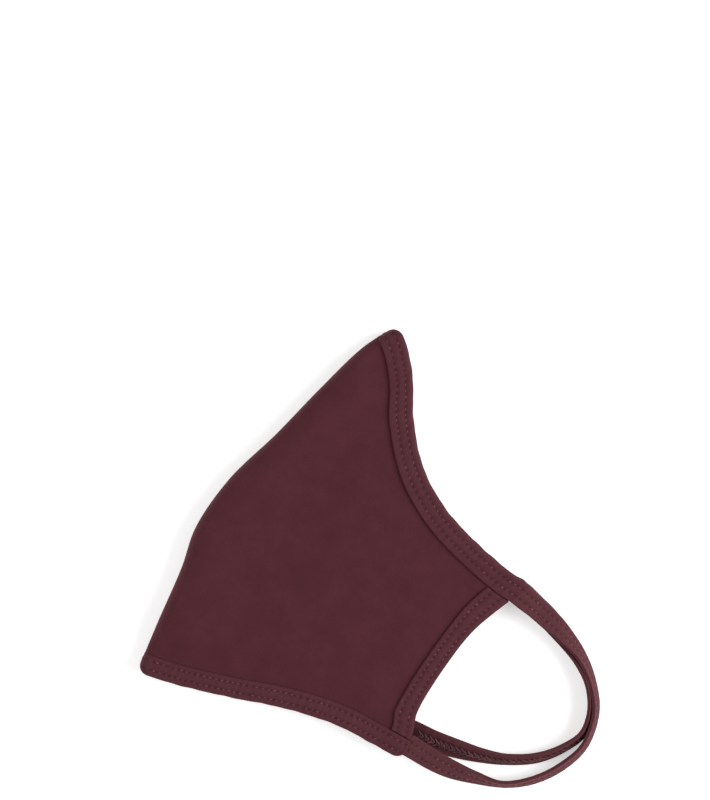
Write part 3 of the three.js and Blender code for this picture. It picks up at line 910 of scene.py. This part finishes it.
def looperChain(rows, normals, along):
    # the chain between two needle rows on the reverse: a row of interlocked chevrons
    pitch = stitching["pitch"]
    first, last = math.ceil(along.min() / pitch + 0.2), math.floor(along.max() / pitch - 1.2)
    holes = np.arange(first, last + 1) * pitch
    holes = holes - drift(holes)
    parts = []
    t = np.linspace(-1, 1, 11)
    thinned = 1 - stitching["chainTaper"] * t**6
    for lead, width, lift in stitching["chain"]:
        spots = holes[:, None] + pitch * lead * (1 - np.abs(t) ** 1.6)[None, :]
        a, up = sampled(rows[0], along, normals, spots)
        b, _ = sampled(rows[1], along, normals, spots)
        share = 0.5 + 0.5 * t * width
        points = a + (b - a) * share[None, :, None]
        rise = lift * (1 - np.abs(t) ** 3) - stitching["chainDive"] * np.abs(t) ** 5
        points = points + up * rise[None, :, None]
        parts.append(tubesAlong(points, up, stitching["chainRadius"] * thinned))
    return parts


def joinThreads(name, parts):
    # many stitches as one mesh
    points, faces, uvs, first = [], [], [], 0
    for some, theirs, uv in parts:
        points.append(some)
        uvs.append(uv)
        faces += [[index + first for index in face] for face in theirs]
        first += len(some)
    piece = meshPiece(name, np.vstack(points), faces, np.vstack(uvs), needleThread)
    return piece


leftCup = makePanel("left_cup_cloth", "left_panel", 1)
rightCup = makePanel("right_cup_cloth", "right_panel", -1)
print("panels made")
noseStrip, noseLines = makeFrontBand("nose_band_strip", "nose_binding", noseBand, noseLine, noseV)
chinStrip, chinLines = makeFrontBand("chin_band_strip", "chin_binding", chinBand, chinLine, chinV)
leftSide, leftLines = makeSideBand("left_side_strip", "left_side_binding", 1)
rightSide, rightLines = makeSideBand("right_side_strip", "right_side_binding", -1)
print("bands made")
bandLength = noseLines[0][2].max()
leftLoop, leftLoopLines, leftBack = makeLoop(
    "left_loop_strip", "left_ear_loop", 1, leftWay, bandLength)
rightLoop, rightLoopLines, rightBack = makeLoop(
    "right_loop_strip", "right_ear_loop", -1, rightWay, bandLength)
print("ear loops made")
threads = [
    joinThreads("nose_stitches", needleRows(noseLines)),
    joinThreads("chin_stitches", needleRows(chinLines)),
    joinThreads("left_side_stitches", needleRows(leftLines)),
    joinThreads("right_side_stitches", needleRows(rightLines)),
    joinThreads("left_loop_stitches", needleRows(leftLoopLines) + looperChain(*leftBack)),
    joinThreads("right_loop_stitches", needleRows(rightLoopLines) + looperChain(*rightBack)),
]
print("stitches made")

# the camera looks straight down with the picture's framing: its frame is 284 by 320 mm
view = {
    "turn": 42.0,  # degrees from the cup's plan to the picture
    "centre": (-72.24, 53.27),  # mm, what the middle of the picture shows
    "frameHeight": 320.0,  # mm
    "lens": 200.0,
    "sensor": 36.0,
    "level": 6.0,  # mm over the floor at which the scale is true
}
camera = bpy.data.objects.new("camera", bpy.data.cameras.new("camera"))
camera.data.lens = view["lens"]
camera.data.sensor_width = view["sensor"]
camera.data.clip_end = 50
distance = view["frameHeight"] * view["lens"] / view["sensor"]
camera.location = [x * mm for x in (*view["centre"], distance + view["level"])]
camera.rotation_euler = (0, 0, math.radians(view["turn"]))
bpy.context.scene.collection.objects.link(camera)
bpy.context.scene.camera = camera

# soft studio light: a bright tent all round, and a large soft light from either side of the picture
studio = {
    "tent": 0.34,
    "keyPower": 17.2,  # watts, from the right
    "floorGlow": 0.45,  # the card is lit from behind too, so its shadows stay faint
    "keySize": 0.9,  # metres, and the next two
    "keyHeight": 0.85,
    "keyReach": 1.05,
    "fillPower": 7.0,  # watts, from the left, so that the front fold isn't dark
}
world = bpy.data.worlds.new("tent")
world.use_nodes = True
glow = world.node_tree.nodes["Background"].inputs
glow["Color"].default_value = (1, 1, 1, 1)
glow["Strength"].default_value = studio["tent"]
bpy.context.scene.world = world
turn = math.radians(view["turn"])
for name, power, side in (("key", studio["keyPower"], 1), ("fill", studio["fillPower"], -1)):
    lamp = bpy.data.objects.new(name, bpy.data.lights.new(name, "AREA"))
    lamp.data.energy = power
    lamp.data.size = studio["keySize"]
    reach = side * studio["keyReach"]
    lamp.location = (reach * math.cos(turn), reach * math.sin(turn), studio["keyHeight"])
    lamp.rotation_euler = (0, math.atan2(reach, studio["keyHeight"]), turn)
    bpy.context.scene.collection.objects.link(lamp)
bpy.context.scene.view_settings.view_transform = "Standard"

floorMesh = bpy.data.meshes.new("floor")
floorMesh.from_pydata([(-4, -4, 0), (4, -4, 0), (4, 4, 0), (-4, 4, 0)], [], [(0, 1, 2, 3)])
floor = bpy.data.objects.new("floor", floorMesh)
# uncoated white card: even and quite matt
paper = bpy.data.materials.new("whiteCard")
paper.use_nodes = True
look = paper.node_tree.nodes["Principled BSDF"].inputs
look["Base Color"].default_value = linear("#f6f6f6")
look["Roughness"].default_value = 0.9
look["Emission Color"].default_value = (1, 1, 1, 1)
look["Emission Strength"].default_value = studio["floorGlow"]
floorMesh.materials.append(paper)
bpy.context.scene.collection.objects.link(floor)
print("camera, light and floor set")
